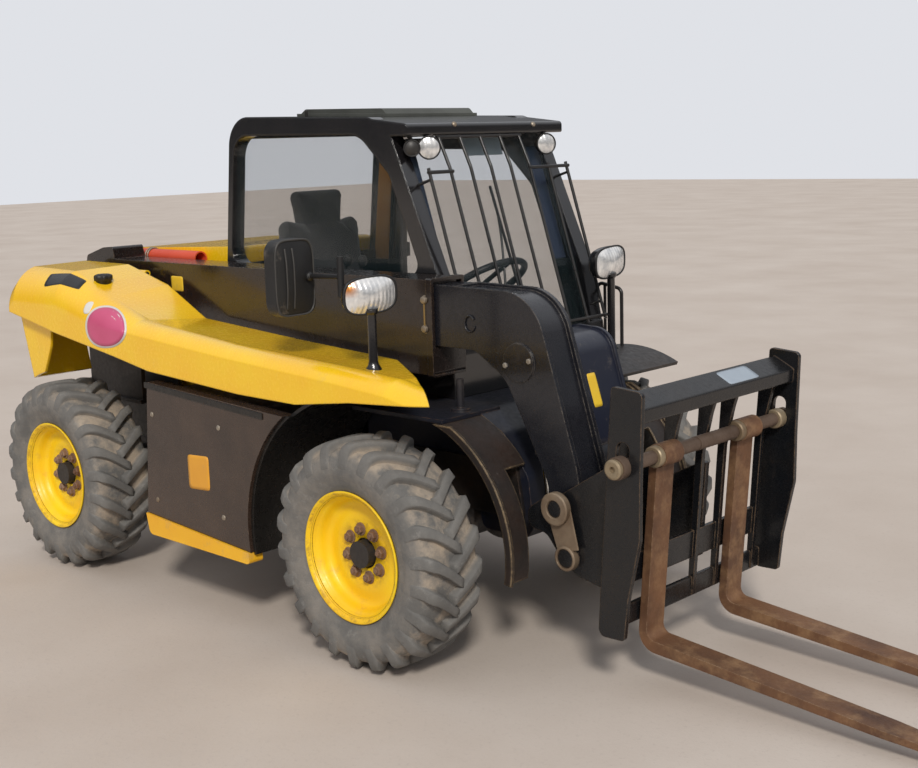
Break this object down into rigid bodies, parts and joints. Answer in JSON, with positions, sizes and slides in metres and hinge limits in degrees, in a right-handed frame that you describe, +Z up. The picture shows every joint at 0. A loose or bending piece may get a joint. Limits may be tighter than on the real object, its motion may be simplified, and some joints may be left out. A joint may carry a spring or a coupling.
{
  "type": "compact telehandler",
  "caption": "Compact side-boom telehandler with enclosed cab beside the boom, steered wheels, and a pallet fork frame on a tilting carriage.",
  "frame": {"origin": "middle of the machine's footprint on the ground, fork tips included", "axes": "+X forwards along the boom, +Y to the driver's left, +Z up"},
  "size_m": [4.0407, 1.544, 1.8055],
  "materials": {
    "chassis_black": "worn satin black",
    "cover_yellow": "gloss yellow",
    "tyre_rubber": "dusty rubber",
    "cast_engine": "oily casting",
    "moulded_black": "matt moulding",
    "prop_red": "red enamel",
    "cab_glass": "lightly tinted",
    "seat_fabric": "woven black",
    "fork_rust": "rusty forged steel",
    "ram_steel": "polished rod",
    "ram_black": "black paint"
  },
  "bodies": {
    "chassis": {"chassis_frame": "chassis_black", "chassis_nose": "chassis_black", "front_axle": "chassis_black", "rear_axle": "chassis_black", "engine_block": "cast_engine", "front_arches": "chassis_black", "mudguard_right": "moulded_black", "side_panel": "chassis_black", "sill_strip": "cover_yellow", "left_tank": "chassis_black", "left_fender": "chassis_black", "rear_cover_left": "cover_yellow", "boom_prop": "prop_red", "rear_hitch": "chassis_black", "rear_lights": "moulded_black", "cab_frame": "chassis_black", "cab_roof": "chassis_black", "roof_hatch": "moulded_black", "right_glass": "cab_glass", "windscreen": "cab_glass", "rear_glass": "cab_glass", "windscreen_guard": "chassis_black", "seat": "seat_fabric", "seat_base": "chassis_black", "steering_column": "moulded_black", "side_console": "moulded_black", "work_lights": "moulded_black", "headlamp_left": "moulded_black", "grab_rail": "chassis_black"},
    "door": {"door_frame": "chassis_black", "door_glass": "cab_glass"},
    "engine_cover": {"bonnet": "cover_yellow", "headlamp_right": "moulded_black", "mirror_right": "moulded_black", "filler_cap": "moulded_black"},
    "boom": {"boom_outer": "chassis_black"},
    "boom_extension": {"boom_inner": "chassis_black", "nose_cover": "chassis_black"},
    "carriage": {"carriage_hitch": "chassis_black", "fork_frame": "chassis_black", "fork_shaft": "fork_rust", "fork_left": "fork_rust", "fork_right": "fork_rust"},
    "lift_ram_barrel": {"lift_barrel": "ram_black"},
    "lift_ram_rod": {"lift_rod": "ram_steel"},
    "tilt_ram_barrel": {"tilt_barrel": "ram_black"},
    "tilt_ram_rod": {"tilt_rod": "ram_steel"},
    "knuckle_front_left": {"knuckle_front_left": "chassis_black"},
    "knuckle_front_right": {"knuckle_front_right": "chassis_black"},
    "knuckle_rear_left": {"knuckle_rear_left": "chassis_black"},
    "knuckle_rear_right": {"knuckle_rear_right": "chassis_black"},
    "wheel_front_left": {"tyre_front_left": "tyre_rubber", "rim_front_left": "cover_yellow"},
    "wheel_front_right": {"tyre_front_right": "tyre_rubber", "rim_front_right": "cover_yellow"},
    "wheel_rear_left": {"tyre_rear_left": "tyre_rubber", "rim_rear_left": "cover_yellow"},
    "wheel_rear_right": {"tyre_rear_right": "tyre_rubber", "rim_rear_right": "cover_yellow"}
  },
  "joints": [
    {"name": "boom_lift", "type": "hinge", "parent": "chassis", "child": "boom", "pos_m": [-1.8, -0.27, 1.08], "axis": [0, -1, 0], "range_deg": [0, 60]},
    {"name": "boom_extend", "type": "slide", "parent": "boom", "child": "boom_extension", "axis": [1, 0, 0], "range_m": [0, 1.1]},
    {"name": "carriage_tilt", "type": "hinge", "parent": "boom_extension", "child": "carriage", "pos_m": [0.675, -0.255, 0.53], "axis": [0, -1, 0], "range_deg": [-60, 20]},
    {"name": "lift_ram_swing", "type": "hinge", "parent": "chassis", "child": "lift_ram_barrel", "pos_m": [-1.45, -0.24, 0.36], "axis": [0, -1, 0], "range_deg": [-1, 44.4]},
    {"name": "lift_ram_stroke", "type": "slide", "parent": "lift_ram_barrel", "child": "lift_ram_rod", "axis": [0.8456, 0, 0.5338], "range_m": [-0.005, 0.7191]},
    {"name": "tilt_ram_swing", "type": "hinge", "parent": "boom_extension", "child": "tilt_ram_barrel", "pos_m": [0.51, -0.258, 0.98], "axis": [0, -1, 0], "range_deg": [-3, 5]},
    {"name": "tilt_ram_stroke", "type": "slide", "parent": "tilt_ram_barrel", "child": "tilt_ram_rod", "axis": [0.126, 0, -0.992], "range_m": [-0.11, 0.04]},
    {"name": "door_swing", "type": "hinge", "parent": "chassis", "child": "door", "pos_m": [-1.068, 0.672, 0.9], "axis": [0, 0, 1], "range_deg": [0, 95]},
    {"name": "cover_lift", "type": "hinge", "parent": "chassis", "child": "engine_cover", "pos_m": [-1.55, -0.384, 1.176], "axis": [-1, 0, 0], "range_deg": [0, 55]},
    {"name": "steer_front_left", "type": "hinge", "parent": "chassis", "child": "knuckle_front_left", "pos_m": [0.15, 0.47, 0.38], "axis": [0, 0, 1], "range_deg": [-20, 20]},
    {"name": "steer_front_right", "type": "hinge", "parent": "chassis", "child": "knuckle_front_right", "pos_m": [0.15, -0.47, 0.38], "axis": [0, 0, 1], "range_deg": [-20, 20]},
    {"name": "steer_rear_left", "type": "hinge", "parent": "chassis", "child": "knuckle_rear_left", "pos_m": [-1.64, 0.47, 0.38], "axis": [0, 0, 1], "range_deg": [-20, 20]},
    {"name": "steer_rear_right", "type": "hinge", "parent": "chassis", "child": "knuckle_rear_right", "pos_m": [-1.64, -0.47, 0.38], "axis": [0, 0, 1], "range_deg": [-20, 20]},
    {"name": "spin_front_left", "type": "hinge", "parent": "knuckle_front_left", "child": "wheel_front_left", "pos_m": [0.15, 0.64, 0.38], "axis": [0, 1, 0], "continuous": true},
    {"name": "spin_front_right", "type": "hinge", "parent": "knuckle_front_right", "child": "wheel_front_right", "pos_m": [0.15, -0.64, 0.38], "axis": [0, 1, 0], "continuous": true},
    {"name": "spin_rear_left", "type": "hinge", "parent": "knuckle_rear_left", "child": "wheel_rear_left", "pos_m": [-1.64, 0.64, 0.38], "axis": [0, 1, 0], "continuous": true},
    {"name": "spin_rear_right", "type": "hinge", "parent": "knuckle_rear_right", "child": "wheel_rear_right", "pos_m": [-1.64, -0.64, 0.38], "axis": [0, 1, 0], "continuous": true}
  ],
  "couplings": [
    {"joint": "lift_ram_swing", "follows": "boom_lift", "ratio": 0.7233},
    {"joint": "lift_ram_stroke", "follows": "boom_lift", "m_per_rad": 0.6819},
    {"joint": "tilt_ram_swing", "follows": "carriage_tilt", "ratio": -0.035},
    {"joint": "tilt_ram_stroke", "follows": "carriage_tilt", "m_per_rad": 0.0995},
    {"joint": "steer_front_right", "follows": "steer_front_left", "ratio": 1},
    {"joint": "steer_rear_left", "follows": "steer_front_left", "ratio": -1},
    {"joint": "steer_rear_right", "follows": "steer_front_left", "ratio": -1}
  ]
}
